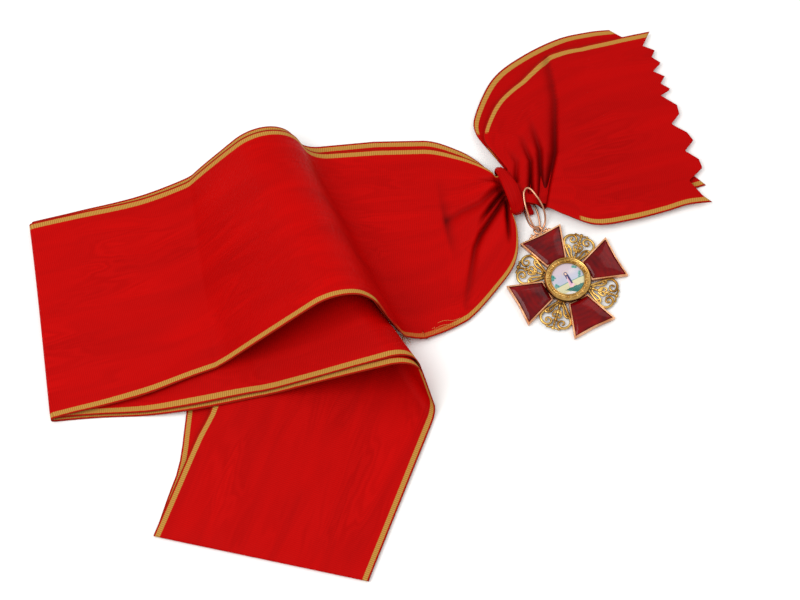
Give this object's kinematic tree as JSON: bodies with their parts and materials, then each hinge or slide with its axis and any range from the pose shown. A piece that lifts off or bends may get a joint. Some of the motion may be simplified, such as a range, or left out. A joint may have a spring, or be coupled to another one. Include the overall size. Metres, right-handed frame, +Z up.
{
  "type": "shoulder sash with badge",
  "caption": "Shoulder sash of doubled striped silk lying folded over itself, gathered at a cuff, with pinked tails and an enamelled cross on a wire loop.",
  "frame": {"origin": "middle of the base of the box round the whole sash, on the surface it lies on", "axes": "+X from the folded loop to the tails, as in the picture; +Y away from the viewer; +Z up"},
  "size_m": [0.3318, 0.2822, 0.0494],
  "materials": {
    "loop_silk": "watered silk",
    "tail_silk": "watered silk",
    "cuff_silk": "watered silk",
    "strap_silk": "watered silk",
    "rose_gold": "polished",
    "cross_gold": "cast and chased",
    "red_enamel": "polished",
    "ring_gold": "chased",
    "picture_enamel": "polished"
  },
  "bodies": {
    "root": {"sash_loop": "loop_silk", "front_tail": "tail_silk", "rear_tail": "tail_silk", "knot_cuff": "cuff_silk", "badge_strap": "strap_silk", "bail": "rose_gold", "cross_frame": "cross_gold", "enamel_arm_1": "red_enamel", "enamel_arm_2": "red_enamel", "enamel_arm_3": "red_enamel", "enamel_arm_4": "red_enamel", "medallion_ring": "ring_gold", "medallion_enamel": "picture_enamel"}
  },
  "joints": []
}
